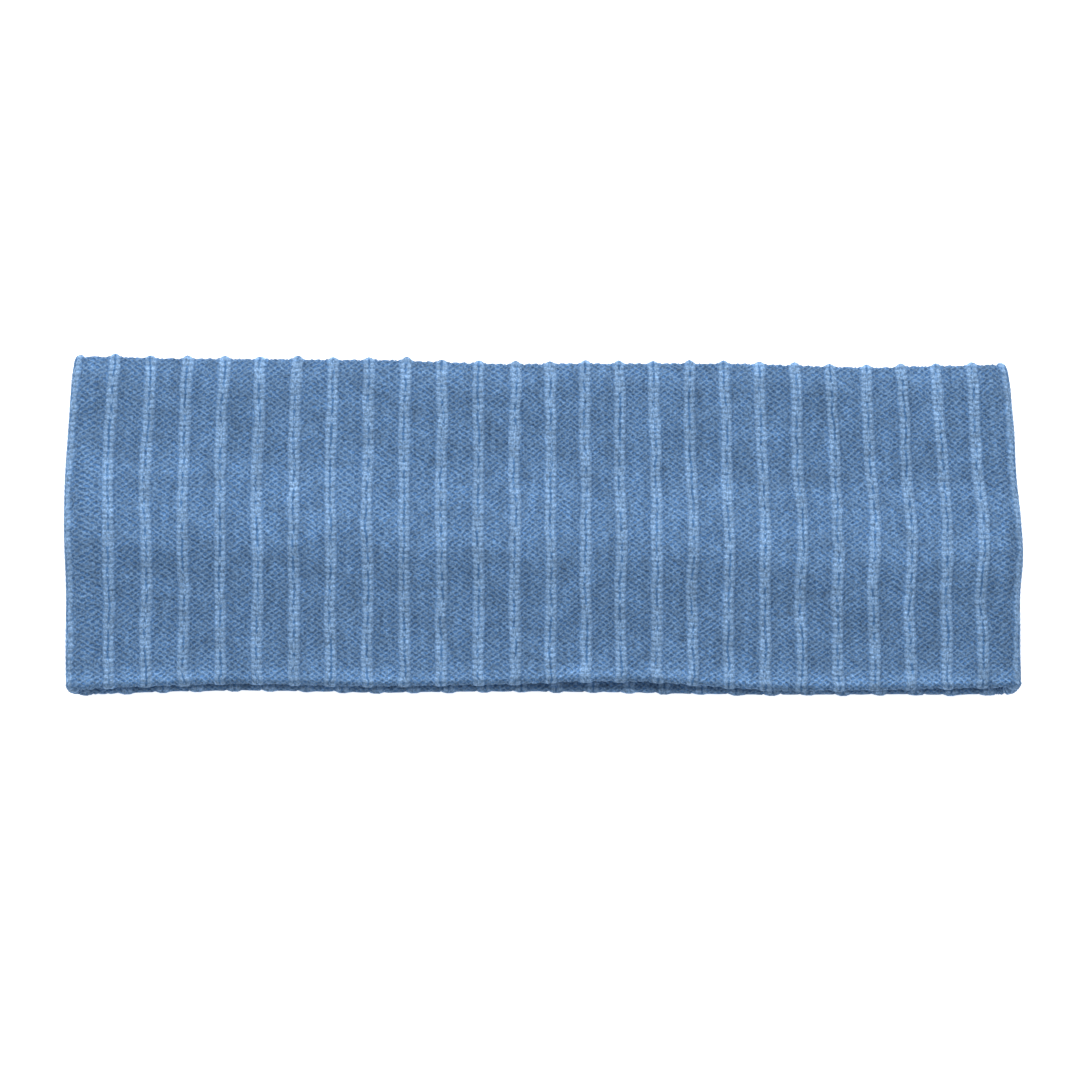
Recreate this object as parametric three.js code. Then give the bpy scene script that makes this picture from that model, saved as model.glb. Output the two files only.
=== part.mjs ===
// Ear warmer headband: a closed loop of doubled rib knit, lying flat with a fold at each end.
// Millimetres. +X runs along the band, +Y across it and +Z up from the surface it lies on.

import * as THREE from 'three';
import { LoftGeometry } from 'three/addons/geometries/LoftGeometry.js';

// The band as it lies
const FLAT_WIDTH = 240; // fold to fold at its widest
const WALL_HEIGHT = 80.8; // one wall, edge to edge between its ribs
const WALL_THICKNESS = 2.8; // two layers of knit, between the ribs
const HOLLOW = 6; // from wall to wall inside the loop, between the ribs, at a fold
const UPPER_SAG = 0.6; // dip of the upper wall at mid-length
const MID_SWELL = 1.6; // soft ridge along the upper wall, over the join of the doubled knit
const RIDGE_FALL = 4; // the ridge drops toward -Y by this much from mid-length to the right fold
const LOWER_SLIP = 2.3; // the lower wall lies this much nearer -Y
const EDGE_DRIFT = 1.3; // how far an edge or a rib wanders from its even place

// The ribs, which run round the doubled knit from edge to edge
const RIB_HEIGHT = 0.75;
const RIB_BASE = 3.4; // width where it meets the knit
const RIB_CREST = 1.1; // width of its flat top
const INNER_RIB = 0.4; // height on the inside of the loop

// Fineness of the curved places
const MAX_TURN = 0.42; // radians between two columns of a fold
const EDGE_STEPS = 4; // faces across a rounded edge

// Rib runs round the loop. On a wall, first and last are shares of half the flat width.
// On a fold they are shares of a right angle above the fold's widest line.
const RIB_RUNS = [
  { place: 'upper wall', ribs: 25, first: -0.908, last: 0.914 },
  { place: 'right fold', ribs: 2, first: 0.42, last: -0.42 },
  { place: 'lower wall', ribs: 25, first: 0.936, last: -0.878 },
  { place: 'left fold', ribs: 2, first: -0.78, last: 0.44 },
];

// Reach of the two ends and the ridge, up the wall from edge to edge.
// up: share of the wall height. left, right: shares of half the flat width. ridge: of the swell.
const UP_THE_WALL = [
  { up: 0, left: 0.999, right: 1, ridge: 0 },
  { up: 0.12, left: 1, right: 0.999, ridge: 0 },
  { up: 0.28, left: 0.997, right: 0.994, ridge: 0.45 },
  { up: 0.42, left: 0.998, right: 1, ridge: 1 },
  { up: 0.54, left: 1, right: 0.998, ridge: 0.6 },
  { up: 0.66, left: 1, right: 0.989, ridge: 0 },
  { up: 0.83, left: 0.994, right: 0.981, ridge: 0 },
  { up: 1, left: 0.987, right: 0.974, ridge: 0 },
];

// Edge lines and rib places from the left end to the right. along: share of half the flat width.
// top, bottom: edges of the upper wall. under: lower wall's bottom edge. ribs: upper ribs' places
// along the band. All but along are shares of the drift.
const EDGE_LINES = [
  { along: -1, top: 1, bottom: -1.15, under: -0.6, ribs: 0 },
  { along: -0.66, top: 0.25, bottom: 0.1, under: 0.3, ribs: 0.65 },
  { along: -0.34, top: 0.1, bottom: -0.5, under: -0.1, ribs: 0.9 },
  { along: -0.06, top: -0.7, bottom: 0.15, under: 0.1, ribs: 1.25 },
  { along: 0.18, top: -0.4, bottom: 0.6, under: -0.1, ribs: 0.6 },
  { along: 0.46, top: -0.65, bottom: -1, under: -0.5, ribs: 0.35 },
  { along: 0.68, top: -1.35, bottom: -1.15, under: -0.5, ribs: 0.35 },
  { along: 0.82, top: -1.05, bottom: -0.9, under: -0.5, ribs: 0.3 },
  { along: 1, top: -0.8, bottom: -0.6, under: -0.5, ribs: 0 },
];

// Sizes that follow from the ones above
const HALF_WIDTH = FLAT_WIDTH / 2;
const FOLD_RADIUS = HOLLOW / 2 + WALL_THICKNESS; // outside of an end fold, between the ribs
const HALF_STRAIGHT = HALF_WIDTH - FOLD_RADIUS;
const FOLD_ARC = Math.PI * FOLD_RADIUS;
const LOOP_LENGTH = 4 * HALF_STRAIGHT + 2 * FOLD_ARC;
const EDGE_RADIUS = WALL_THICKNESS / 2;
const RIGHT_ANGLE = Math.PI / 2;

// Value of one column of a table at a place between its rows, eased from row to row
function fromTable(rows, key, column, place) {
  const next = rows.findIndex((row) => row[key] >= place);
  if (next === 0) {
    return rows[0][column];
  }
  if (next < 0) {
    return rows[rows.length - 1][column];
  }
  const before = rows[next - 1];
  const after = rows[next];
  const share = THREE.MathUtils.smoothstep(place, before[key], after[key]);
  return THREE.MathUtils.lerp(before[column], after[column], share);
}

// Outer line of the loop, seen along +Y: a point on it and its outward direction.
// The distance starts at mid upper wall and goes toward +X, down the right fold and back.
function loopLine(distance) {
  let run = THREE.MathUtils.euclideanModulo(distance, LOOP_LENGTH);
  if (run < HALF_STRAIGHT) {
    return { x: run, z: FOLD_RADIUS, outX: 0, outZ: 1 };
  }
  run -= HALF_STRAIGHT;
  if (run < FOLD_ARC) {
    const turn = run / FOLD_RADIUS;
    const outX = Math.sin(turn);
    const outZ = Math.cos(turn);
    return { x: HALF_STRAIGHT + FOLD_RADIUS * outX, z: FOLD_RADIUS * outZ, outX, outZ };
  }
  run -= FOLD_ARC;
  if (run < 2 * HALF_STRAIGHT) {
    return { x: HALF_STRAIGHT - run, z: -FOLD_RADIUS, outX: 0, outZ: -1 };
  }
  run -= 2 * HALF_STRAIGHT;
  if (run < FOLD_ARC) {
    const turn = run / FOLD_RADIUS;
    const outX = -Math.sin(turn);
    const outZ = -Math.cos(turn);
    return { x: -HALF_STRAIGHT + FOLD_RADIUS * outX, z: FOLD_RADIUS * outZ, outX, outZ };
  }
  run -= FOLD_ARC;
  return { x: run - HALF_STRAIGHT, z: FOLD_RADIUS, outX: 0, outZ: 1 };
}

// Distance round the loop of a share given in the table of rib runs
function distanceOf(place, share) {
  switch (place) {
    case 'upper wall':
      return share * HALF_WIDTH;
    case 'right fold':
      return HALF_STRAIGHT + FOLD_RADIUS * RIGHT_ANGLE * (1 - share);
    case 'lower wall':
      return 2 * HALF_STRAIGHT + FOLD_ARC - share * HALF_WIDTH;
    default:
      return 3 * HALF_STRAIGHT + FOLD_ARC + FOLD_RADIUS * RIGHT_ANGLE * (1 + share);
  }
}

// Middle of every rib, as a distance round the loop
function ribMiddles() {
  const middles = [];
  for (const run of RIB_RUNS) {
    const start = distanceOf(run.place, run.first);
    const end = distanceOf(run.place, run.last);
    for (let rib = 0; rib < run.ribs; rib += 1) {
      const share = rib / (run.ribs - 1);
      const along = THREE.MathUtils.lerp(run.first, run.last, share);
      const drift = run.place === 'upper wall' ? fromTable(EDGE_LINES, 'along', 'ribs', along) : 0;
      middles.push(THREE.MathUtils.lerp(start, end, share) + EDGE_DRIFT * drift);
    }
  }
  return middles;
}

// Columns of the loop: four on each rib and two or more on the knit between two ribs
function loopColumns() {
  const middles = ribMiddles();
  const columns = [];
  middles.forEach((middle, index) => {
    const following = index + 1 < middles.length ? middles[index + 1] : middles[0] + LOOP_LENGTH;
    columns.push({ distance: middle - RIB_BASE / 2, rib: 0 });
    columns.push({ distance: middle - RIB_CREST / 2, rib: 1 });
    columns.push({ distance: middle + RIB_CREST / 2, rib: 1 });
    columns.push({ distance: middle + RIB_BASE / 2, rib: 0 });
    const start = middle + RIB_BASE / 2;
    const end = following - RIB_BASE / 2;
    const from = loopLine(start);
    const to = loopLine(end);
    const turn = Math.acos(THREE.MathUtils.clamp(from.outX * to.outX + from.outZ * to.outZ, -1, 1));
    const steps = Math.max(2, Math.ceil(turn / MAX_TURN));
    for (let step = 1; step < steps; step += 1) {
      columns.push({ distance: THREE.MathUtils.lerp(start, end, step / steps), rib: 0 });
    }
  });
  return columns;
}

// Section of the doubled wall, in order round it: down the inside and up the outside.
// up: share of the height, face: 1 on the outside and -1 on the inside, rise: over a rounded edge.
function wallSection() {
  const section = [];
  const inner = UP_THE_WALL.slice(1, -1);
  for (const row of inner) {
    section.push({ up: row.up, face: 1, rise: 0 });
  }
  for (let step = 0; step <= EDGE_STEPS; step += 1) {
    const angle = (Math.PI * step) / EDGE_STEPS;
    section.push({ up: 1, face: Math.cos(angle), rise: Math.sin(angle) });
  }
  const middleRow = inner[Math.floor(inner.length / 2)];
  section.push({ up: middleRow.up, face: -1, rise: 0 });
  for (let step = 0; step <= EDGE_STEPS; step += 1) {
    const angle = (Math.PI * step) / EDGE_STEPS;
    section.push({ up: 0, face: -Math.cos(angle), rise: -Math.sin(angle) });
  }
  return section.reverse();
}

// One corner of the solid
function bandPoint(column, corner) {
  const line = loopLine(column.distance);
  const upper = Math.max(line.outZ, 0) ** 2;
  const onTop = (1 + line.outZ) / 2;
  const along = line.x / HALF_WIDTH;

  const topEdge = WALL_HEIGHT / 2 + EDGE_DRIFT * fromTable(EDGE_LINES, 'along', 'top', along);
  const bottomUpper = EDGE_DRIFT * fromTable(EDGE_LINES, 'along', 'bottom', along);
  const bottomLower = EDGE_DRIFT * fromTable(EDGE_LINES, 'along', 'under', along);
  const bottomEdge = -WALL_HEIGHT / 2 + THREE.MathUtils.lerp(bottomLower, bottomUpper, onTop);
  const slip = LOWER_SLIP * (1 - onTop);

  const ribHeight = column.rib * (corner.face < -0.5 ? INNER_RIB : RIB_HEIGHT);
  const swell = corner.face > 0.5 ? MID_SWELL * upper : 0;
  const ridgeUp = corner.up + (RIDGE_FALL / WALL_HEIGHT) * along;
  const ridge = swell * fromTable(UP_THE_WALL, 'up', 'ridge', ridgeUp);
  const sag = UPPER_SAG * upper * (1 - (line.x / HALF_STRAIGHT) ** 2);

  const inward = EDGE_RADIUS * (1 - corner.face) - ribHeight * corner.face - ridge;
  const side = line.x < 0 ? 'left' : 'right';
  const reach = fromTable(UP_THE_WALL, 'up', side, corner.up);
  const low = bottomEdge + EDGE_RADIUS;
  const high = topEdge - EDGE_RADIUS;

  return new THREE.Vector3(
    (line.x - line.outX * inward) * reach,
    THREE.MathUtils.lerp(low, high, corner.up) + (EDGE_RADIUS + ribHeight) * corner.rise - slip,
    line.z - line.outZ * inward - sag,
  );
}

// The band: the wall section carried once round the loop, back to where it starts
function makeBand() {
  const section = wallSection();
  const rings = loopColumns().map((column) => section.map((corner) => bandPoint(column, corner)));
  rings.push(rings[0].map((point) => point.clone()));
  const geometry = new LoftGeometry(rings, { closed: true });

  // middle of the box on the origin, lowest ribs on the floor
  geometry.computeBoundingBox();
  const { min, max } = geometry.boundingBox;
  geometry.translate(-(min.x + max.x) / 2, -(min.y + max.y) / 2, -min.z);

  const knit = new THREE.MeshStandardMaterial({ color: 0x6486ad, roughness: 0.95, metalness: 0 });
  const band = new THREE.Mesh(geometry, knit);
  band.name = 'knit_band';
  return band;
}

const headband = new THREE.Group();
headband.name = 'ear_warmer_headband';
headband.add(makeBand());

export default headband;
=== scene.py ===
"""A blue rib-knit ear warmer headband, doubled and lying flat, on a pale studio floor.

Metres throughout. +X runs along the band, +Y across it and +Z up from the floor.
"""

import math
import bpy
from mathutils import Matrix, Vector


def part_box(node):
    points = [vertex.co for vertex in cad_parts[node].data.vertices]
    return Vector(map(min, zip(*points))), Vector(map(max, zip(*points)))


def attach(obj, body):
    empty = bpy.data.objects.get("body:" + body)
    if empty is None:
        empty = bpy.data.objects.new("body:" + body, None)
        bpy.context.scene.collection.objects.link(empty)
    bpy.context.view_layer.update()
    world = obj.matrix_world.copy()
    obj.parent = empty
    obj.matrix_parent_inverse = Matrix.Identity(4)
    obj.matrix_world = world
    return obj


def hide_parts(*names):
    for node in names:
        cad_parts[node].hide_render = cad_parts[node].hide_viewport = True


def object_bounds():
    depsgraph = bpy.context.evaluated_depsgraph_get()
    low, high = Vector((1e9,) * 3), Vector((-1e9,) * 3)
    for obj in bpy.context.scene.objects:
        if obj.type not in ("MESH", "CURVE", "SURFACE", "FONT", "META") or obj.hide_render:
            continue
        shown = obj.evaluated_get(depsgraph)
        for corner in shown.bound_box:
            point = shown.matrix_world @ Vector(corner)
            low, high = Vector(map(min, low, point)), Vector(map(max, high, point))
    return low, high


bl_info = {
    "name": "Rib Knit Headband",
    "version": (1, 0, 0),
    "blender": (4, 5, 0),
    "location": "3D View > Sidebar > Headband",
    "description": "Knits a doubled rib headband as it lies flat, and lights it on a pale floor",
    "category": "Add Mesh",
}

import bpy
import numpy as np
from bpy.props import FloatProperty, FloatVectorProperty, IntProperty, PointerProperty
from mathutils import Vector

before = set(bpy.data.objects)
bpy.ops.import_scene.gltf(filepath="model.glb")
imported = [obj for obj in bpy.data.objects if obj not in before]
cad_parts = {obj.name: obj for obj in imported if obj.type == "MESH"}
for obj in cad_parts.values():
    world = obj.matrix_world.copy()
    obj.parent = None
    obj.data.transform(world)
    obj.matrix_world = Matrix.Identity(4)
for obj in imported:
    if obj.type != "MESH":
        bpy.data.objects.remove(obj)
CAD_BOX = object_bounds()

BAND_NAME = "Rib_knit_band"
STITCH_MAP = "Stitches"  # U counts stitches round the loop, V counts courses up the knit
BAKE_MAP = "OFBake"
BAKE_MARGIN = 0.003  # empty rim of each laid-out length
STITCHES_PER_RIB = 4  # one wide knit stitch on the rib and three purl stitches beside it

# The drawn stitches. Scales are in waves a metre, and tones are shares of the brightness.
# Wanders are in stitches, and so are places on a rib, which count from its middle.
# A cloud is the part of a noise's values over which something changes.
YARN_WANDER_SCALE = 420.0
PURL_WANDER = 0.7
LEAN_SCALE = 260.0
LEAN_CLOUD = (0.35, 0.65)
LEAN_RANGE = (0.25, 0.75)  # share of the falling strokes, from patch to patch
STROKE_FOOT = 0.1  # part of a wave that draws nothing
STROKE_EDGE = 4.0  # power that narrows a stroke
STROKE_SHARE = 0.45  # narrow strokes against wide ones
PIT_RANGE = (0.65, 1.15)  # depth of the shallowest and the deepest pit
PURL_COLOUR_RANGE = (0.05, 0.85)  # heights that take the shaded and the lit copy of the yarn colour
RIB_WANDER_SCALE = 190.0
RIB_WANDER = 0.42
LEG_PLACE = (0.29, 0.48)  # outer side of a leg, where it starts and ends its fall
LEG_FOOT = 0.4  # height left at the end of that fall
GROOVE_PLACE = (0.02, 0.15)  # side of the groove between two legs
GROOVE_FLOOR = 0.17
LEG_SLANT = 0.35  # courses that a drawn bead falls over one stitch
BEAD_TOP = 0.9  # part of a wave at which a bead is full
BEAD_LOW = 0.47  # height between two beads of a leg
BRIDGE_SCALE = 450.0
BRIDGE_CLOUD = (0.4, 0.68)
BRIDGE_HEIGHT = 0.9  # fibres that close the groove here and there
BRIDGE_PLACE = (0.02, 0.13)
RIB_COLOUR_RANGE = (0.05, 0.8)
FOOT_WANDER = 0.3
RIB_FOOT = (0.33, 0.59)  # where the rib's stitch goes over into the purl side
RIB_SHADE = 0.1  # share of brightness taken off as painted shade on the purl side beside a rib
RIB_SHADE_REACH = (1.15, 2.1)
FIBRE_SCALE = 1900.0
FIBRE_DETAIL = 3.0
FIBRE_HEIGHT = 0.7
FIBRE_TONE = 2.2
STITCH_TONE = 0.2
PATCH_SCALE = 150.0
PATCH_DETAIL = 4.0
PATCH_TONE = 0.85
RIDGE_LIGHT_COURSES = (20.5, 25.5, 36.0, 42.0)  # courses where painted light on the ridge's lit slope over the join inside rises and falls
RIDGE_LIGHT_FALL = 2.4  # the band of painted light runs this many courses off level
RIDGE_LIGHT_TONE = 0.1
EDGE_LIGHT_COURSES = 4.0  # courses along the bottom folded edge that take painted light
EDGE_LIGHT_TONE = 0.42
RIB_LIGHT_SHARE = 0.3  # share of the painted ridge and edge light that a rib takes
YARN_SPECULAR = 0.2
SHEEN_ROUGHNESS = 0.5
FLOOR_ROUGHNESS = 0.9
FLOOR_SPECULAR = 0.1

# Rib runs round the loop. On a wall, first and last are shares of half the flat width.
# On a fold they are shares of a right angle above the fold's widest line.
RIB_RUNS = [
    {"place": "upper wall", "ribs": 25, "first": -0.908, "last": 0.914},
    {"place": "right fold", "ribs": 2, "first": 0.42, "last": -0.42},
    {"place": "lower wall", "ribs": 25, "first": 0.936, "last": -0.878},
    {"place": "left fold", "ribs": 2, "first": -0.78, "last": 0.44},
]
STITCHES_ROUND = STITCHES_PER_RIB * sum(run["ribs"] for run in RIB_RUNS)

# Reach of the two ends and the ridge, up the wall from edge to edge, as in the part
UP_THE_WALL = {
    "up": (0, 0.12, 0.28, 0.42, 0.54, 0.66, 0.83, 1),
    "left": (0.999, 1, 0.997, 0.998, 1, 1, 0.994, 0.987),
    "right": (1, 0.999, 0.994, 1, 0.998, 0.989, 0.981, 0.974),
    "ridge": (0, 0, 0.45, 1, 0.6, 0, 0, 0),
}

# Edge lines and upper rib places from the left end to the right, as shares of the drift
EDGE_LINES = {
    "along": (-1, -0.66, -0.34, -0.06, 0.18, 0.46, 0.68, 0.82, 1),
    "top": (1, 0.25, 0.1, -0.7, -0.4, -0.65, -1.35, -1.05, -0.8),
    "bottom": (-1.15, 0.1, -0.5, 0.15, 0.6, -1, -1.15, -0.9, -0.6),
    "under": (-0.6, 0.3, -0.1, 0.1, -0.1, -0.5, -0.5, -0.5, -0.5),
    "ribs": (0, 0.65, 0.9, 1.25, 0.6, 0.35, 0.35, 0.3, 0),
}

# Half a rib's cross-section, from its middle groove out over a leg of the stitch to its foot.
# across: share of half the rib's base. height: share of the rib's height. crown: the same share
# where the rib goes over the top edge. The lower wall's is plainer, because the floor hides it.
RIB_PROFILE = {"across": (0, 0.42, 0.72, 1), "height": (0.84, 1, 0.58, 0), "crown": (1, 0.72, 0.25, 0)}
UNDER_PROFILE = {"across": (0, 0.42, 1), "height": (0.84, 1, 0), "crown": (1, 0.72, 0)}

# Stitch places between two ribs, counted from the first rib's middle
FIELD_STITCHES = (0.76, 1, 1.5, 2, 2.5, 3, 3.24)
UNDER_STITCHES = (1, 2, 3)

# Slow waves that keep the knit from lying dead flat.
# round: waves round the loop, across: waves round the wall, turn: start, share: strength.
SLOW_WAVES = [
    {"round": 3, "across": 1, "turn": 0.3, "share": 0.35},
    {"round": 7, "across": -2, "turn": 1.9, "share": 0.3},
    {"round": 13, "across": 3, "turn": 4.4, "share": 0.2},
    {"round": 22, "across": -5, "turn": 2.7, "share": 0.15},
]
GOLDEN_TURN = 2.399963  # spreads the ribs' wander so that no two neighbours match

# Unevenness of the ribs and stitches
STRAY_COURSES = (27, 11.3)  # courses from one sideways stray of a rib to the next, wide and narrow
STRAY_NARROW = 0.3  # strength of the narrow one
STRAY_BESIDE = 0.45  # how far the stitches beside a rib follow it
RIB_UNEVEN = (0.12, 0.08)  # change of a rib's height from rib to rib, and along it
TENSION_RANGE = (0.5, 1.5)  # relief of the slackest and the tightest stitch
BEAD_SLANT = 0.9  # courses that a leg's bead falls over one stitch
WAVE_BELOW = 0.25  # share of the slow waves on the lower wall
ROLL_BELOW = 0.3  # share of the edge roll on the lower wall
OUTSIDE_FACE = (-1.0, 0.2)  # where the inside's knit goes over into the outside's, by face
INNER_COURSES = 3  # courses in one row of the plain inside

# The key light hangs low beyond the band's upper edge
KEY_PLACE = (-0.12, 1.25, 0.85)
KEY_SIDE = 1.2


class HeadbandSizes(bpy.types.PropertyGroup):
    """Sizes of the band, the same as the solid part's"""

    flat_width: FloatProperty(
        name="Flat Width", description="From fold to fold at the widest", default=0.24, unit="LENGTH"
    )
    wall_height: FloatProperty(
        name="Wall Height", description="One wall, edge to edge", default=0.0808, unit="LENGTH"
    )
    wall_thickness: FloatProperty(
        name="Wall Thickness", description="Two layers of knit", default=0.0028, unit="LENGTH"
    )
    hollow: FloatProperty(
        name="Hollow", description="Wall to wall inside a fold", default=0.006, unit="LENGTH"
    )
    upper_sag: FloatProperty(
        name="Upper Sag", description="Dip of the upper wall", default=0.0006, unit="LENGTH"
    )
    mid_swell: FloatProperty(
        name="Ridge", description="Ridge over the join inside", default=0.0016, unit="LENGTH"
    )
    ridge_fall: FloatProperty(
        name="Ridge Fall", description="How far the ridge runs off level", default=0.004, unit="LENGTH"
    )
    lower_slip: FloatProperty(
        name="Lower Slip", description="Lower wall's shift toward -Y", default=0.0023, unit="LENGTH"
    )
    edge_drift: FloatProperty(
        name="Edge Drift", description="How far edges and ribs wander", default=0.0013, unit="LENGTH"
    )
    rib_height: FloatProperty(
        name="Rib Height", description="Height of a rib outside", default=0.00075, unit="LENGTH"
    )
    rib_base: FloatProperty(
        name="Rib Base", description="Width of a rib at its foot", default=0.0034, unit="LENGTH"
    )
    inner_rib: FloatProperty(
        name="Inner Rib", description="Height of a rib inside", default=0.0004, unit="LENGTH"
    )


class KnitSizes(bpy.types.PropertyGroup):
    """Stitch sizes and the unevenness of the knitting"""

    rib_stitch: FloatProperty(
        name="Rib Stitch", description="Width of the rib's knit stitch", default=0.0035, unit="LENGTH"
    )
    courses: IntProperty(name="Courses", description="Rows of stitches up one wall", default=58)
    edge_courses: FloatProperty(
        name="Edge Courses", description="Courses round a folded edge", default=3.5
    )
    stitch_relief: FloatProperty(
        name="Stitch Relief", description="Height of one purl bump", default=0.00009, unit="LENGTH"
    )
    edge_relief: FloatProperty(
        name="Edge Relief", description="Share that bumps stand higher round an edge", default=2.0
    )
    leg_relief: FloatProperty(
        name="Leg Relief", description="Beading of a rib's stitches", default=0.00011, unit="LENGTH"
    )
    slow_wave: FloatProperty(
        name="Slow Wave", description="Unevenness of a wall", default=0.0003, unit="LENGTH"
    )
    rib_wander: FloatProperty(
        name="Rib Wander", description="How far a rib strays sideways", default=0.0002, unit="LENGTH"
    )
    edge_roll: FloatProperty(
        name="Edge Roll", description="How far a wall rolls down at its top", default=0.0009, unit="LENGTH"
    )
    edge_roll_reach: FloatProperty(
        name="Edge Roll Reach", description="Where the roll begins", default=0.0055, unit="LENGTH"
    )
    crown_gain: FloatProperty(
        name="Crown Gain", description="Share that a rib stands higher over the top edge", default=0.4
    )
    foot_loss: FloatProperty(
        name="Foot Loss", description="Share that a rib is lower under the bottom edge", default=0.3
    )
    tension_seed: IntProperty(name="Tension Seed", description="Pattern of uneven stitches", default=11)


class YarnColours(bpy.types.PropertyGroup):
    """Lit and shaded copies of the yarn colour, and the yarn's finish"""

    # painted highlight on a rib's legs, painted shade in its groove and on its flanks
    rib_lit: FloatVectorProperty(
        name="Rib Light", description="Lit legs of a rib", subtype="COLOR", default=(0.216, 0.357, 0.568)
    )
    rib_shaded: FloatVectorProperty(
        name="Rib Dark", description="Groove of a rib", subtype="COLOR", default=(0.066, 0.162, 0.342)
    )
    # painted highlight on the purl bumps, painted shade in the pits between them
    purl_lit: FloatVectorProperty(
        name="Purl Light", description="Top of a purl bump", subtype="COLOR", default=(0.136, 0.243, 0.411)
    )
    purl_shaded: FloatVectorProperty(
        name="Purl Dark", description="Pit between bumps", subtype="COLOR", default=(0.065, 0.156, 0.336)
    )
    roughness: FloatProperty(
        name="Roughness", description="Yarn roughness", default=0.92, subtype="FACTOR"
    )
    sheen: FloatProperty(name="Sheen", description="Fuzz on the yarn", default=0.25, subtype="FACTOR")
    bump: FloatProperty(
        name="Stitch Depth", description="Depth of the drawn stitches", default=0.00011, unit="LENGTH"
    )


class StageSizes(bpy.types.PropertyGroup):
    """Floor, lights and camera"""

    frame_width: FloatProperty(
        name="Frame Width", description="Width seen at the band", default=0.2691, unit="LENGTH"
    )
    centre_x: FloatProperty(
        name="Frame Centre X", description="Middle of the picture along", default=-0.0009, unit="LENGTH"
    )
    centre_y: FloatProperty(
        name="Frame Centre Y", description="Middle of the picture across", default=-0.0036, unit="LENGTH"
    )
    lens: FloatProperty(name="Lens", description="Camera lens, millimetres", default=110.0)
    floor_size: FloatProperty(name="Floor", description="Side of the floor", default=4.0, unit="LENGTH")
    floor_colour: FloatVectorProperty(
        name="Floor Colour", description="Pale floor", subtype="COLOR", default=(0.9, 0.9, 0.9)
    )
    floor_glow: FloatProperty(name="Floor Glow", description="Light from within the floor", default=0.72)
    key_power: FloatProperty(name="Key Light", description="Soft light from the far side", default=30.0)
    room_light: FloatProperty(name="Room Light", description="Even light from all round", default=0.45)


def settings():
    """The four groups of sizes and colours that the operators read"""
    scene = bpy.context.scene
    return scene.headband_sizes, scene.headband_knit, scene.headband_yarn, scene.headband_stage


def along_table(table, key, column, place):
    """Value of a column at each place, on a smooth curve through the rows"""
    keys = np.array(table[key], float)
    values = np.array(table[column], float)
    slopes = np.gradient(values, keys)
    place = np.clip(place, keys[0], keys[-1])
    row = np.clip(np.searchsorted(keys, place, side="right") - 1, 0, len(keys) - 2)
    step = keys[row + 1] - keys[row]
    t = (place - keys[row]) / step
    start = (2 * t**3 - 3 * t**2 + 1) * values[row] + (t**3 - 2 * t**2 + t) * step * slopes[row]
    end = (3 * t**2 - 2 * t**3) * values[row + 1] + (t**3 - t**2) * step * slopes[row + 1]
    return start + end


def smooth(low, high, value):
    """Eased rise from 0 to 1 between two values"""
    t = np.clip((value - low) / (high - low), 0, 1)
    return t * t * (3 - 2 * t)


class Loop:
    """Outer line of the loop as seen along +Y, measured round from mid upper wall toward +X"""

    def __init__(self, sizes):
        self.half_width = sizes.flat_width / 2
        self.drift = sizes.edge_drift
        self.radius = sizes.hollow / 2 + sizes.wall_thickness
        self.half_straight = self.half_width - self.radius
        self.arc = math.pi * self.radius
        self.length = 4 * self.half_straight + 2 * self.arc

    def distance_of(self, place, share):
        """Distance round the loop of a share given in the table of rib runs"""
        quarter = self.radius * math.pi / 2
        if place == "upper wall":
            return share * self.half_width
        if place == "right fold":
            return self.half_straight + quarter * (1 - share)
        if place == "lower wall":
            return 2 * self.half_straight + self.arc - share * self.half_width
        return 3 * self.half_straight + self.arc + quarter * (1 + share)

    def rib_middles(self):
        """Middle of every rib, round the loop"""
        runs = []
        for run in RIB_RUNS:
            start = self.distance_of(run["place"], run["first"])
            end = self.distance_of(run["place"], run["last"])
            middles = np.linspace(start, end, run["ribs"])
            if run["place"] == "upper wall":
                along = np.linspace(run["first"], run["last"], run["ribs"])
                middles += self.drift * along_table(EDGE_LINES, "along", "ribs", along)
            runs.append(middles)
        return np.concatenate(runs)

    def line(self, distance):
        """x and z of the outer line, and its outward direction, at each distance"""
        run = np.mod(distance, self.length)
        far = self.half_straight
        folded = far + self.arc
        back = folded + 2 * far
        right = (run >= far) & (run < folded)
        under = (run >= folded) & (run < back)
        left = (run >= back) & (run < back + self.arc)
        turn = np.where(right, (run - far) / self.radius, 0.0)
        turn = np.where(under, math.pi, turn)
        turn = np.where(left, math.pi + (run - back) / self.radius, turn)
        out_x, out_z = np.sin(turn), np.cos(turn)
        middle = np.where(run < far, run, run - self.length)
        middle = np.where(right, far, middle)
        middle = np.where(under, far - (run - folded), middle)
        middle = np.where(left, -far, middle)
        return middle + self.radius * out_x, self.radius * out_z, out_x, out_z


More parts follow.
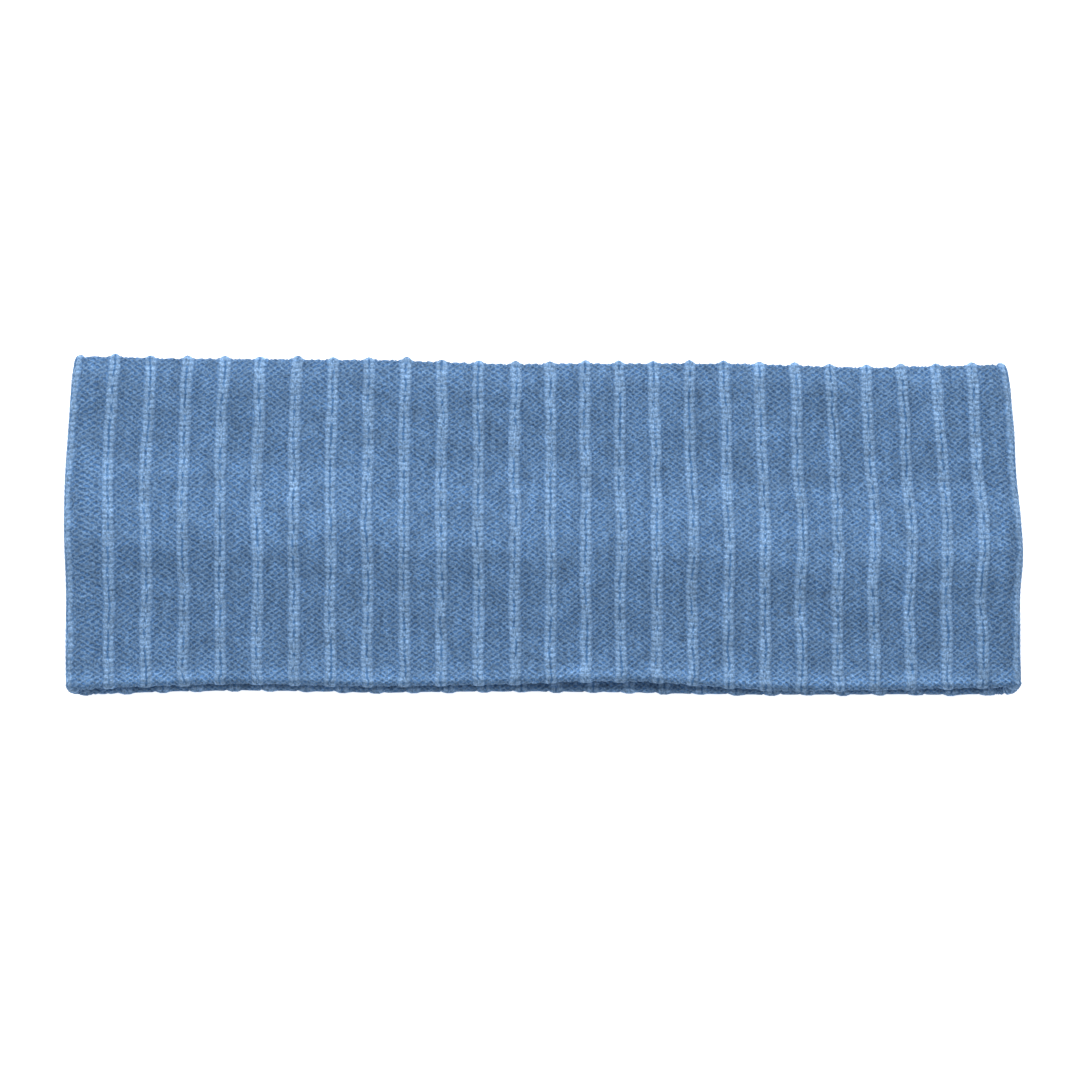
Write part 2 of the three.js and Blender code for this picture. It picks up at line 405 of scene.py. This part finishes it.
def knit_columns(loop, sizes, knit):
    """Columns of the knit round the loop: distance, stitch count, rib shares and rib number"""
    middles = loop.rib_middles()
    following = np.append(middles[1:], middles[0] + loop.length)
    half_base, half_stitch = sizes.rib_base / 2, knit.rib_stitch / 2
    first_under = RIB_RUNS[0]["ribs"] + RIB_RUNS[1]["ribs"]
    last_under = first_under + RIB_RUNS[2]["ribs"]
    columns = []
    for rib, (middle, after) in enumerate(zip(middles, following)):
        hidden = first_under <= rib < last_under - 1
        profile = UNDER_PROFILE if hidden else RIB_PROFILE
        pitch = after - middle
        purl_width = (pitch - knit.rib_stitch) / (STITCHES_PER_RIB - 1)
        half = list(zip(profile["across"], profile["height"], profile["crown"]))
        for across, height, crown in [(-a, h, c) for a, h, c in reversed(half[1:])] + half:
            offset = across * half_base
            stitch = offset / knit.rib_stitch
            if abs(offset) > half_stitch:
                stitch = math.copysign(0.5 + (abs(offset) - half_stitch) / purl_width, offset)
            columns.append((middle + offset, rib * STITCHES_PER_RIB + stitch, height, crown, rib))
        for stitch in UNDER_STITCHES if hidden else FIELD_STITCHES:
            offset = half_stitch + (stitch - 0.5) * purl_width
            nearer = rib if stitch < STITCHES_PER_RIB / 2 else rib + 1
            columns.append((middle + offset, rib * STITCHES_PER_RIB + stitch, 0.0, 0.0, nearer))
    distance, stitch, height, crown, rib = (np.array(values, float) for values in zip(*columns))
    return distance, stitch, height, crown, np.mod(rib, len(middles))


def wall_rows(knit):
    """Rows round the doubled wall: share up it, face, rise over an edge and course count.

    They go up the outside, over the top edge, down the inside and under the bottom edge.
    """
    rows = []
    for half in range(1, 2 * knit.courses):
        rows.append((half / (2 * knit.courses), 1.0, 0.0, half / 2))
    edge_steps = round(2 * knit.edge_courses)
    for step in range(edge_steps + 1):
        angle = math.pi * step / edge_steps
        course = knit.courses + step / 2
        rows.append((1.0, math.cos(angle), math.sin(angle), course))
    inner_steps = knit.courses // INNER_COURSES
    for step in range(1, inner_steps):
        share = step / inner_steps
        rows.append((1 - share, -1.0, 0.0, course + share * knit.courses))
    course += knit.courses
    for step in range(edge_steps + 1):
        angle = math.pi * step / edge_steps
        rows.append((0.0, -math.cos(angle), -math.sin(angle), course + step / 2))
    up, face, rise, course = (np.array(values, float) for values in zip(*rows))
    return up, face, rise, course


def slow_waves(distance, course, loop_length, courses_round):
    """Slow unevenness of the knit, from -1 to 1, that closes on itself both ways"""
    total = np.zeros(np.broadcast(distance, course).shape)
    for wave in SLOW_WAVES:
        turn = wave["round"] * distance / loop_length + wave["across"] * course / courses_round
        total += wave["share"] * np.sin(2 * math.pi * turn + wave["turn"])
    return total


def knit_points(loop, sizes, knit, columns, rows):
    """Place of every point of the knit, as rows by columns"""
    distance, stitch, rib_share, crown_share, rib = (values[None, :] for values in columns)
    up, face, rise, course = (values[:, None] for values in rows)
    courses_round = course.max()
    noise = np.random.default_rng(knit.tension_seed)
    tension = noise.uniform(*TENSION_RANGE, (rows[0].size, columns[0].size))

    # ribs stray sideways a little, and the stitches beside them follow less
    wide, narrow = STRAY_COURSES
    stray = np.sin(2 * math.pi * course / wide + rib * GOLDEN_TURN)
    stray += STRAY_NARROW * np.sin(2 * math.pi * course / narrow + rib * 2 * GOLDEN_TURN)
    follows = np.where(rib_share > 0, 1.0, STRAY_BESIDE)
    distance = distance + knit.rib_wander * stray * follows

    # where a point lies on the loop, and the two edges there
    x, z, out_x, out_z = loop.line(distance)
    on_top = (1 + out_z) / 2
    upper = np.maximum(out_z, 0) ** 2
    along = x / loop.half_width
    edge_radius = sizes.wall_thickness / 2

    drift = sizes.edge_drift
    top_edge = sizes.wall_height / 2 + drift * along_table(EDGE_LINES, "along", "top", along)
    bottom_upper = drift * along_table(EDGE_LINES, "along", "bottom", along)
    bottom_lower = drift * along_table(EDGE_LINES, "along", "under", along)
    bottom_edge = bottom_lower + (bottom_upper - bottom_lower) * on_top - sizes.wall_height / 2

    # relief: ribs, rib ends over the top edge, purl bumps, beads of the legs and slow waves
    outside = smooth(*OUTSIDE_FACE, face)
    rib_height = sizes.inner_rib + (sizes.rib_height - sizes.inner_rib) * outside
    uneven = 1 + RIB_UNEVEN[0] * np.sin(rib * 1.7 * GOLDEN_TURN) + RIB_UNEVEN[1] * stray
    over_top, under_foot = np.maximum(rise, 0) ** 2, np.maximum(-rise, 0)
    crown = crown_share * (1 + knit.crown_gain) * over_top
    height = rib_share * (1 - over_top) * (1 - knit.foot_loss * under_foot) + crown
    height = height * rib_height * uneven
    field = (1 - np.minimum(rib_share * 3, 1)) * outside
    bumps = np.cos(2 * math.pi * stitch) * np.cos(2 * math.pi * course)
    relief = knit.stitch_relief * (1 + knit.edge_relief * np.abs(rise) ** 3)
    height = height + relief * tension * bumps * field
    from_rib = np.abs(np.mod(stitch + 1, STITCHES_PER_RIB) - 1)
    beads = np.cos(2 * math.pi * (course - BEAD_SLANT * from_rib))
    height = height + knit.leg_relief * tension * beads * (rib_share > 0.5) * outside
    waves = slow_waves(distance, course, loop.length, courses_round)
    height = height + knit.slow_wave * waves * outside * (WAVE_BELOW + (1 - WAVE_BELOW) * on_top)

    # the ridge over the join, the rolled top edge, the lean of the ends and the sag
    ridge_up = up + sizes.ridge_fall / sizes.wall_height * along
    ridge = along_table(UP_THE_WALL, "up", "ridge", ridge_up) * upper * (face > 0.5)
    from_top = (1 - up) * sizes.wall_height
    roll = np.maximum(1 - from_top / knit.edge_roll_reach, 0) ** 2 * np.maximum(face, 0)
    inward = edge_radius * (1 - face) - height * face - sizes.mid_swell * ridge
    inward = inward + knit.edge_roll * roll * (ROLL_BELOW + (1 - ROLL_BELOW) * upper)
    reach_left = along_table(UP_THE_WALL, "up", "left", up)
    reach_right = along_table(UP_THE_WALL, "up", "right", up)
    reach = np.where(x < 0, reach_left, reach_right)
    sag = sizes.upper_sag * upper * (1 - (x / loop.half_straight) ** 2)
    low = bottom_edge + edge_radius
    high = top_edge - edge_radius

    points = np.stack(
        [
            (x - out_x * inward) * reach,
            low + (high - low) * up + (edge_radius + height) * rise - sizes.lower_slip * (1 - on_top),
            z - out_z * inward - sag + loop.radius + sizes.rib_height,
        ],
        axis=-1,
    )
    points[..., 2] = np.maximum(points[..., 2], 0.0)
    return points


def grid_faces(rows, columns):
    """Four corners of each face of a grid that closes on itself both ways"""
    row = np.arange(rows)[:, None]
    column = np.arange(columns)[None, :]
    next_row = (row + 1) % rows
    next_column = (column + 1) % columns
    corners = [
        row * columns + column,
        row * columns + next_column,
        next_row * columns + next_column,
        next_row * columns + column,
    ]
    return np.stack(corners, axis=-1).reshape(-1, 4)


def lay_map(mesh, name, u_start, u_end, v_start, v_end):
    """A UV map of the grid, from the values at the two sides of each column and each row"""
    shape = np.broadcast(u_start, v_start).shape
    u = np.stack([np.broadcast_to(side, shape) for side in (u_start, u_end, u_end, u_start)], axis=-1)
    v = np.stack([np.broadcast_to(side, shape) for side in (v_start, v_start, v_end, v_end)], axis=-1)
    layer = mesh.uv_layers.new(name=name)
    layer.uv.foreach_set("vector", np.stack([u, v], axis=-1).astype(np.float32).ravel())


def lay_stitch_map(mesh, stitch, course):
    """Counts stitches round the loop and courses round the wall"""
    next_stitch = np.append(stitch[1:], stitch[0] + STITCHES_ROUND)
    next_course = np.append(course[1:], course[0] + course.max())
    lay_map(mesh, STITCH_MAP, stitch, next_stitch, course[:, None], next_course[:, None])


def lay_bake_map(mesh, distance, course, loop_length):
    """Lays the loop out flat in two lengths, one above the other, inside one square"""
    next_distance = np.append(distance[1:], distance[0] + loop_length)
    middle = (distance + next_distance) / 2 - distance[0]
    strip = np.where(middle < loop_length / 2, 0, 1)
    first = np.array([distance[strip == part].min() for part in (0, 1)])[strip]
    last = np.array([next_distance[strip == part].max() for part in (0, 1)])[strip]
    room = 1 - 2 * BAKE_MARGIN
    u_start = BAKE_MARGIN + room * (distance - first) / (last - first)
    u_end = BAKE_MARGIN + room * (next_distance - first) / (last - first)
    next_course = np.append(course[1:], course[0] + course.max())
    low, span = course[0], course.max()
    v_start = (strip + BAKE_MARGIN + room * (course[:, None] - low) / span) / 2
    v_end = (strip + BAKE_MARGIN + room * (next_course[:, None] - low) / span) / 2
    lay_map(mesh, BAKE_MAP, u_start, u_end, v_start, v_end)


def knit_mesh(name, sizes, knit):
    """The knitted loop as one closed mesh, with a map of its stitches and one laid out flat"""
    loop = Loop(sizes)
    columns = knit_columns(loop, sizes, knit)
    rows = wall_rows(knit)
    points = knit_points(loop, sizes, knit, columns, rows)
    row_count, column_count = points.shape[:2]
    flat = points.reshape(-1, 3)
    low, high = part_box("knit_band")
    for axis in (0, 1):
        middle = (flat[:, axis].min() + flat[:, axis].max()) / 2
        flat[:, axis] += (low[axis] + high[axis]) / 2 - middle

    mesh = bpy.data.meshes.new(name)
    mesh.from_pydata(flat.tolist(), [], grid_faces(row_count, column_count).tolist())
    mesh.polygons.foreach_set("use_smooth", np.ones(len(mesh.polygons), bool))
    distance, stitch, course = columns[0], columns[1], rows[3]
    lay_stitch_map(mesh, stitch, course)
    lay_bake_map(mesh, distance, course, loop.length)
    mesh.uv_layers[STITCH_MAP].active = True
    mesh.uv_layers[STITCH_MAP].active_render = True
    mesh.update()
    return mesh


def put(tree, socket, value):
    """Links a value that comes from another node, and sets a plain one"""
    if isinstance(value, bpy.types.NodeSocket):
        tree.links.new(value, socket)
    else:
        socket.default_value = value


def maths(tree, operation, first, second=0.0):
    """One sum on one or two values"""
    node = tree.nodes.new("ShaderNodeMath")
    node.operation = operation
    put(tree, node.inputs[0], first)
    put(tree, node.inputs[1], second)
    return node.outputs[0]


def ease(tree, value, low, high, to_low=0.0, to_high=1.0):
    """Eased change from one value to another while the input goes from low to high"""
    node = tree.nodes.new("ShaderNodeMapRange")
    node.interpolation_type = "SMOOTHSTEP"
    for name, number in (("From Min", low), ("From Max", high), ("To Min", to_low), ("To Max", to_high)):
        node.inputs[name].default_value = number
    put(tree, node.inputs["Value"], value)
    return node.outputs["Result"]


def blend_values(tree, share, first, second):
    """Mix of two values"""
    node = tree.nodes.new("ShaderNodeMix")
    put(tree, node.inputs["Factor"], share)
    put(tree, node.inputs["A"], first)
    put(tree, node.inputs["B"], second)
    return node.outputs["Result"]


def blend_colours(tree, share, first, second, how="MIX"):
    """Mix of two colours"""
    node = tree.nodes.new("ShaderNodeMix")
    node.data_type = "RGBA"
    node.blend_type = how
    put(tree, node.inputs[0], share)
    for socket, colour in ((node.inputs[6], first), (node.inputs[7], second)):
        put(tree, socket, colour if isinstance(colour, bpy.types.NodeSocket) else (*colour, 1.0))
    return node.outputs[2]


def noise(tree, vector, scale, detail=2.0):
    """Soft cloudy noise in the piece's own space"""
    node = tree.nodes.new("ShaderNodeTexNoise")
    node.inputs["Scale"].default_value = scale
    node.inputs["Detail"].default_value = detail
    tree.links.new(vector, node.inputs["Vector"])
    return node.outputs


def stitch_counts(tree):
    """Counts at a point: even stitch and course, and how far uneven yarn shifts each"""
    place = tree.nodes.new("ShaderNodeUVMap")
    place.uv_map = STITCH_MAP
    counts = tree.nodes.new("ShaderNodeSeparateXYZ")
    tree.links.new(place.outputs["UV"], counts.inputs[0])
    space = tree.nodes.new("ShaderNodeTexCoord").outputs["Object"]
    shift = tree.nodes.new("ShaderNodeSeparateColor")
    tree.links.new(noise(tree, space, YARN_WANDER_SCALE)["Color"], shift.inputs[0])
    sway = [maths(tree, "SUBTRACT", channel, 0.5) for channel in shift.outputs[:2]]
    return counts.outputs[0], counts.outputs[1], sway, space


def half_wave(tree, value):
    """Wave from 0 to 1 with one crest a stitch"""
    turn = maths(tree, "COSINE", maths(tree, "MULTIPLY", value, 2 * math.pi))
    return ease(tree, turn, -1.0, 1.0)


def chance(tree, how, stitch, course):
    """A value by chance for each bump, or for each pit between bumps"""
    cell = tree.nodes.new("ShaderNodeCombineXYZ")
    put(tree, cell.inputs[0], maths(tree, how, maths(tree, "ADD", stitch, course)))
    put(tree, cell.inputs[1], maths(tree, how, maths(tree, "SUBTRACT", stitch, course)))
    value = tree.nodes.new("ShaderNodeTexWhiteNoise")
    value.noise_dimensions = "2D"
    tree.links.new(cell.outputs[0], value.inputs["Vector"])
    return value.outputs["Value"]


def brightness(tree, value, strength):
    """Brightness about 1 that rises and falls with a value between 0 and 1"""
    result = maths(tree, "MULTIPLY_ADD", value, strength)
    result.node.inputs[2].default_value = 1 - strength / 2
    return result


def painted_ridge_and_edge_light(tree, stitch, course, courses_round):
    """Painted light: a band on the ridge's lit slope over the join inside, and a rim along the bottom
    folded edge
    """
    fall = maths(tree, "COSINE", maths(tree, "MULTIPLY", stitch, 2 * math.pi / STITCHES_ROUND))
    level = maths(tree, "SUBTRACT", course, maths(tree, "MULTIPLY", fall, RIDGE_LIGHT_FALL))
    ridge_light_on = ease(tree, level, *RIDGE_LIGHT_COURSES[:2], 1.0, 1.0 + RIDGE_LIGHT_TONE)
    ridge_light_off = ease(tree, level, *RIDGE_LIGHT_COURSES[2:], 0.0, RIDGE_LIGHT_TONE)
    from_edge = maths(tree, "MINIMUM", course, maths(tree, "SUBTRACT", courses_round, course))
    painted_edge_light = ease(tree, from_edge, 0.0, EDGE_LIGHT_COURSES, 1.0 + EDGE_LIGHT_TONE, 1.0)
    return maths(tree, "MULTIPLY", maths(tree, "SUBTRACT", ridge_light_on, ridge_light_off), painted_edge_light)


def yarn_material(name, colours, courses_round):
    """Soft blue yarn: crossing strokes on the purl side, and a knit stitch up each rib"""
    material = bpy.data.materials.new(name)
    material.use_nodes = True
    tree = material.node_tree
    tree.nodes.clear()
    even_stitch, even_course, sway, space = stitch_counts(tree)
    stitch = maths(tree, "ADD", even_stitch, maths(tree, "MULTIPLY", sway[0], PURL_WANDER))
    course = maths(tree, "ADD", even_course, maths(tree, "MULTIPLY", sway[1], PURL_WANDER))

    # purl side: slanting strokes that cross, with a small pit in each mesh of them, painted dark as shade
    lean = ease(tree, noise(tree, space, LEAN_SCALE)["Fac"], *LEAN_CLOUD, *LEAN_RANGE)
    rising = half_wave(tree, maths(tree, "ADD", stitch, course))
    falling = half_wave(tree, maths(tree, "SUBTRACT", stitch, course))
    crossing = blend_values(tree, lean, rising, falling)
    strokes = [maths(tree, "POWER", wave, STROKE_EDGE) for wave in (rising, falling)]
    stroke = maths(tree, "MAXIMUM", *strokes)
    purl_height = blend_values(tree, STROKE_SHARE, ease(tree, crossing, STROKE_FOOT, 1.0), stroke)
    pit = maths(tree, "SUBTRACT", 1.0, purl_height)
    pit_depth = ease(tree, chance(tree, "FLOOR", stitch, course), 0.0, 1.0, *PIT_RANGE)
    purl_height = maths(tree, "SUBTRACT", 1.0, maths(tree, "MULTIPLY", pit, pit_depth))

    # rib: two legs a stitch, with a broken groove that wanders between them
    rib_sway = maths(tree, "SUBTRACT", noise(tree, space, RIB_WANDER_SCALE)["Fac"], 0.5)
    leg_stitch = maths(tree, "ADD", even_stitch, maths(tree, "MULTIPLY", rib_sway, RIB_WANDER))
    from_groove = maths(tree, "PINGPONG", leg_stitch, STITCHES_PER_RIB / 2)
    flank = ease(tree, from_groove, *LEG_PLACE, 1.0, LEG_FOOT)
    leg = maths(tree, "MULTIPLY", ease(tree, from_groove, *GROOVE_PLACE, GROOVE_FLOOR, 1.0), flank)
    fallen = maths(tree, "SUBTRACT", course, maths(tree, "MULTIPLY", from_groove, LEG_SLANT))
    bead = ease(tree, half_wave(tree, fallen), 0.0, BEAD_TOP, BEAD_LOW, 1.0)
    loose_fibres = noise(tree, space, BRIDGE_SCALE)["Fac"]
    bridge = ease(tree, loose_fibres, *BRIDGE_CLOUD, 0.0, BRIDGE_HEIGHT)
    in_groove = ease(tree, from_groove, *BRIDGE_PLACE, 1.0, 0.0)
    rib_height = maths(tree, "MULTIPLY", leg, bead)
    rib_height = maths(tree, "MAXIMUM", rib_height, maths(tree, "MULTIPLY", bridge, in_groove))
    foot_stitch = maths(tree, "ADD", even_stitch, maths(tree, "MULTIPLY", sway[0], FOOT_WANDER))
    from_rib = maths(tree, "PINGPONG", foot_stitch, STITCHES_PER_RIB / 2)
    on_rib = ease(tree, from_rib, *RIB_FOOT, 1.0, 0.0)

    # lit and shaded copies of the yarn mixed by height: painted highlight on tops, painted shade low down
    purl_colour = blend_colours(
        tree, ease(tree, purl_height, *PURL_COLOUR_RANGE), colours.purl_shaded, colours.purl_lit
    )
    rib_colour = blend_colours(
        tree, ease(tree, rib_height, *RIB_COLOUR_RANGE), colours.rib_shaded, colours.rib_lit
    )
    colour = blend_colours(tree, on_rib, purl_colour, rib_colour)

    # a tone of its own for each stitch, fibre and patch, painted light on the ridge and along the bottom
    # edge, painted shade beside the ribs
    fibres = noise(tree, space, FIBRE_SCALE, FIBRE_DETAIL)["Fac"]
    patches = noise(tree, space, PATCH_SCALE, PATCH_DETAIL)["Fac"]
    tone = brightness(tree, chance(tree, "ROUND", stitch, course), STITCH_TONE)
    grain = brightness(tree, fibres, FIBRE_TONE)
    cloud = brightness(tree, patches, PATCH_TONE)
    shade = maths(tree, "MULTIPLY", maths(tree, "MULTIPLY", tone, grain), cloud)
    painted_light = painted_ridge_and_edge_light(tree, even_stitch, even_course, courses_round)
    painted_light = blend_values(tree, ease(tree, on_rib, 0.0, 1.0, 1.0, RIB_LIGHT_SHARE), 1.0, painted_light)
    shade = maths(tree, "MULTIPLY", shade, painted_light)
    # painted shade on the purl side beside each rib, none on the rib itself
    beside = ease(tree, from_rib, *RIB_SHADE_REACH, 1 - RIB_SHADE, 1.0)
    shade = maths(tree, "MULTIPLY", shade, blend_values(tree, on_rib, beside, 1.0))
    grey = tree.nodes.new("ShaderNodeCombineColor")
    for socket in grey.inputs:
        tree.links.new(shade, socket)
    colour = blend_colours(tree, 1.0, colour, grey.outputs[0], "MULTIPLY")

    height = blend_values(tree, on_rib, purl_height, rib_height)
    height = maths(tree, "ADD", height, maths(tree, "MULTIPLY", fibres, FIBRE_HEIGHT))
    bump = tree.nodes.new("ShaderNodeBump")
    bump.inputs["Distance"].default_value = colours.bump
    tree.links.new(height, bump.inputs["Height"])

    shader = tree.nodes.new("ShaderNodeBsdfPrincipled")
    shader.inputs["Roughness"].default_value = colours.roughness
    shader.inputs["Specular IOR Level"].default_value = YARN_SPECULAR
    shader.inputs["Sheen Weight"].default_value = colours.sheen
    shader.inputs["Sheen Roughness"].default_value = SHEEN_ROUGHNESS
    shader.inputs["Sheen Tint"].default_value = (*colours.rib_lit, 1.0)
    tree.links.new(colour, shader.inputs["Base Color"])
    tree.links.new(bump.outputs["Normal"], shader.inputs["Normal"])
    output = tree.nodes.new("ShaderNodeOutputMaterial")
    tree.links.new(shader.outputs["BSDF"], output.inputs["Surface"])
    return material


def floor_material(name, colour, glow):
    """Matt pale table top, lit a little from within"""
    material = bpy.data.materials.new(name)
    material.use_nodes = True
    shader = material.node_tree.nodes["Principled BSDF"]
    shader.inputs["Base Color"].default_value = (*colour, 1.0)
    shader.inputs["Roughness"].default_value = FLOOR_ROUGHNESS
    shader.inputs["Specular IOR Level"].default_value = FLOOR_SPECULAR
    shader.inputs["Emission Color"].default_value = (1, 1, 1, 1)
    shader.inputs["Emission Strength"].default_value = glow
    return material


def add_area_light(name, place, target, side, power):
    """A square soft light that faces a point"""
    data = bpy.data.lights.new(name, "AREA")
    data.shape = "SQUARE"
    data.size = side
    data.energy = power
    light = bpy.data.objects.new(name, data)
    light.location = place
    light.rotation_euler = (Vector(target) - Vector(place)).to_track_quat("-Z", "Y").to_euler()
    bpy.context.scene.collection.objects.link(light)


class HEADBAND_OT_knit_band(bpy.types.Operator):
    """Knit the doubled band round the solid part and give it its yarn"""

    bl_idname = "headband.knit_band"
    bl_label = "Knit the Band"

    def execute(self, context):
        sizes, knit, yarn, _ = settings()
        band = bpy.data.objects.new(BAND_NAME, knit_mesh(BAND_NAME, sizes, knit))
        context.scene.collection.objects.link(band)
        courses_round = 2 * (knit.courses + knit.edge_courses)
        band.data.materials.append(yarn_material("Soft blue yarn", yarn, courses_round))
        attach(band, "root")
        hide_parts("knit_band")
        return {"FINISHED"}


class HEADBAND_OT_stage(bpy.types.Operator):
    """Lay the pale floor, hang the soft lights and set the camera straight above"""

    bl_idname = "headband.stage"
    bl_label = "Set the Stage"

    def execute(self, context):
        stage = settings()[3]
        scene = context.scene
        bpy.ops.object.select_all(action="DESELECT")
        bpy.ops.mesh.primitive_plane_add(size=stage.floor_size, location=(0, 0, 0))
        floor = context.object
        floor.name = "Studio_floor"
        floor.data.materials.append(floor_material("Pale floor", stage.floor_colour, stage.floor_glow))

        world = bpy.data.worlds.new("Soft room")
        world.use_nodes = True
        room = world.node_tree.nodes["Background"]
        room.inputs["Color"].default_value = (1, 1, 1, 1)
        room.inputs["Strength"].default_value = stage.room_light
        scene.world = world
        scene.view_settings.view_transform = "Standard"
        top = CAD_BOX[1][2]
        add_area_light("Key light", KEY_PLACE, (0, 0, top), KEY_SIDE, stage.key_power)

        data = bpy.data.cameras.new("Camera")
        data.lens = stage.lens
        camera = bpy.data.objects.new("Camera", data)
        distance = stage.frame_width * stage.lens / data.sensor_width
        camera.location = (stage.centre_x, stage.centre_y, top + distance)
        scene.collection.objects.link(camera)
        scene.camera = camera
        return {"FINISHED"}


class HEADBAND_PT_sidebar(bpy.types.Panel):
    """The headband's operators and sizes"""

    bl_label = "Headband"
    bl_idname = "HEADBAND_PT_sidebar"
    bl_space_type = "VIEW_3D"
    bl_region_type = "UI"
    bl_category = "Headband"

    def draw(self, context):
        layout = self.layout
        layout.operator(HEADBAND_OT_knit_band.bl_idname)
        layout.operator(HEADBAND_OT_stage.bl_idname)
        for group in settings():
            box = layout.box()
            for name in group.__annotations__:
                box.prop(group, name)


CLASSES = (
    HeadbandSizes,
    KnitSizes,
    YarnColours,
    StageSizes,
    HEADBAND_OT_knit_band,
    HEADBAND_OT_stage,
    HEADBAND_PT_sidebar,
)
GROUPS = {
    "headband_sizes": HeadbandSizes,
    "headband_knit": KnitSizes,
    "headband_yarn": YarnColours,
    "headband_stage": StageSizes,
}


def register():
    """Adds the classes and the four groups of settings to the scene"""
    for one_class in CLASSES:
        bpy.utils.register_class(one_class)
    for name, group in GROUPS.items():
        setattr(bpy.types.Scene, name, PointerProperty(type=group))


def unregister():
    """Takes them away again"""
    for name in GROUPS:
        delattr(bpy.types.Scene, name)
    for one_class in reversed(CLASSES):
        bpy.utils.unregister_class(one_class)


def main():
    """Builds the headband and its stage"""
    register()
    bpy.ops.headband.knit_band()
    bpy.ops.headband.stage()


if __name__ == "__main__":
    main()
